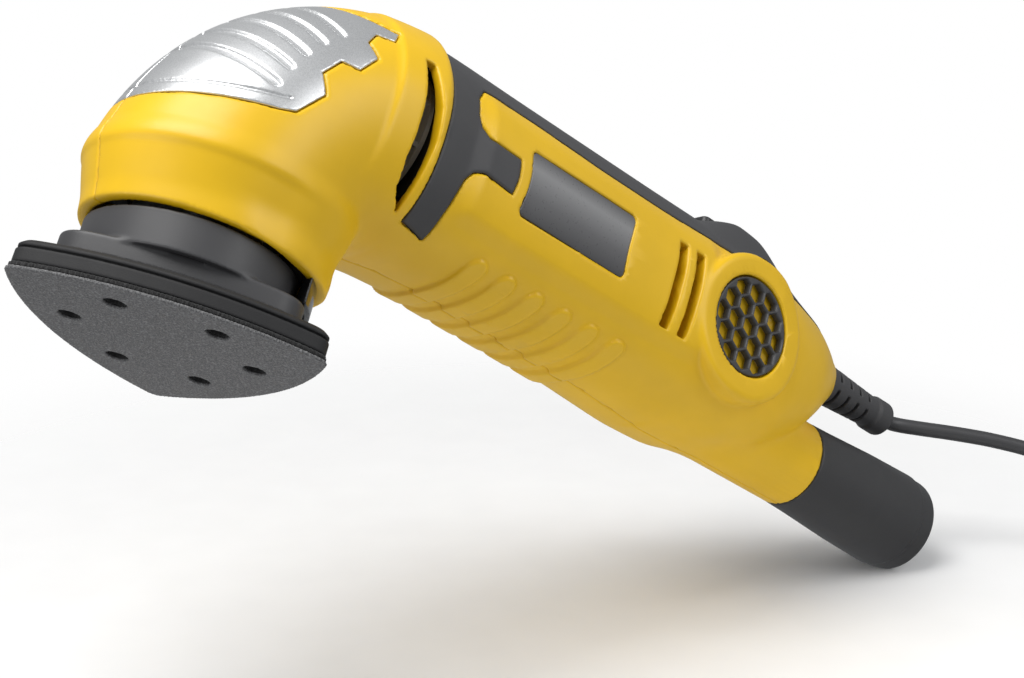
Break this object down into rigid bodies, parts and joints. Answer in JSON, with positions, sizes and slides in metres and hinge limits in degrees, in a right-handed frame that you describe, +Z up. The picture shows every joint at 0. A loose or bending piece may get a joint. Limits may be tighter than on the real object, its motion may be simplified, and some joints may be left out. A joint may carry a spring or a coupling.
{
  "type": "orbital sander",
  "caption": "Corded orbital delta sander with a triangular dust-extracting pad, in-line motor handle, painted head cover, side vents and a dust hose adapter.",
  "frame": {"origin": "centre of the abrasive face, on the pad's own axis", "axes": "+X back along the handle, +Y to the tool's right side, +Z up from the pad; the pad's front tip points to -X"},
  "size_m": [0.5197, 0.1599, 0.136],
  "materials": {
    "yellow_plastic": "satin moulded",
    "silver_paint": "satin metallic",
    "grip_rubber": "matt overmould",
    "plate_print": "satin print",
    "black_plastic": "fine texture",
    "rocker_plastic": "smooth",
    "adapter_plastic": "satin texture",
    "lead_pvc": "satin",
    "bright_steel": "ground",
    "black_steel": "black oxide",
    "cast_zinc": "cast",
    "carrier_plastic": "satin",
    "damper_rubber": "matt",
    "pad_foam": "fine cell",
    "hook_fabric": "hook pile",
    "abrasive": "coated grit",
    "lamination": "stacked sheet",
    "copper": "enamelled wire",
    "fan_nylon": "moulded",
    "brass_tube": "stamped",
    "carbon": "pressed",
    "capacitor_film": "dipped"
  },
  "bodies": {
    "housing": {"housing_left": "yellow_plastic", "housing_right": "yellow_plastic", "head_cover_left": "silver_paint", "head_cover_right": "silver_paint", "grip_left": "grip_rubber", "grip_right": "grip_rubber", "nameplate_left": "plate_print", "nameplate_right": "plate_print", "vent_grille_left": "black_plastic", "vent_grille_right": "black_plastic", "housing_screws": "black_steel", "switch_frame": "black_plastic", "switch_body": "black_plastic", "capacitor": "capacitor_film", "cord_guard": "grip_rubber", "cord_clamp": "black_plastic", "clamp_screws": "black_steel", "power_cord": "lead_pvc", "cord_coil": "lead_pvc", "plug_body": "lead_pvc", "plug_pins": "bright_steel", "dust_duct": "black_plastic", "dust_elbow": "black_plastic", "gear_housing": "cast_zinc", "gear_housing_screws": "black_steel", "upper_bearing": "bright_steel", "lower_bearing": "bright_steel", "pad_dampers": "damper_rubber", "front_bearing": "bright_steel", "rear_bearing": "bright_steel", "stator_core": "lamination", "stator_coils": "copper", "brush_holders": "brass_tube", "carbon_brushes": "carbon", "brush_springs": "bright_steel", "air_baffle": "black_plastic"},
    "armature": {"motor_shaft": "bright_steel", "pinion": "bright_steel", "armature_core": "lamination", "armature_winding": "copper", "commutator": "copper", "fan": "fan_nylon"},
    "drive_spindle": {"spindle": "bright_steel", "crown_gear": "bright_steel", "counterweight": "cast_zinc", "pad_screw": "black_steel"},
    "pad": {"pad_bearing": "bright_steel", "pad_carrier": "carrier_plastic", "pad_cushion": "pad_foam", "hook_layer": "hook_fabric", "sanding_sheet": "abrasive"},
    "rocker": {"switch_rocker": "rocker_plastic"},
    "adapter": {"dust_adapter": "adapter_plastic"}
  },
  "joints": [
    {"name": "motor_spin", "type": "hinge", "parent": "housing", "child": "armature", "pos_m": [0.09, 0, 0.095], "axis": [1, 0, 0], "continuous": true},
    {"name": "spindle_spin", "type": "hinge", "parent": "housing", "child": "drive_spindle", "pos_m": [-0.001, 0, 0.06], "axis": [0, 0, 1], "continuous": true},
    {"name": "pad_orbit", "type": "hinge", "parent": "drive_spindle", "child": "pad", "pos_m": [0, 0, 0.024], "axis": [0, 0, 1], "continuous": true},
    {"name": "rocker_tilt", "type": "hinge", "parent": "housing", "child": "rocker", "pos_m": [0.203, 0, 0.1302], "axis": [0, 1, 0], "range_deg": [-12, 0]},
    {"name": "adapter_pull", "type": "slide", "parent": "housing", "child": "adapter", "axis": [1, 0, 0], "range_m": [0, 0.03]}
  ],
  "couplings": [
    {"joint": "spindle_spin", "follows": "motor_spin", "ratio": 0.4},
    {"joint": "pad_orbit", "follows": "motor_spin", "ratio": -0.4}
  ]
}
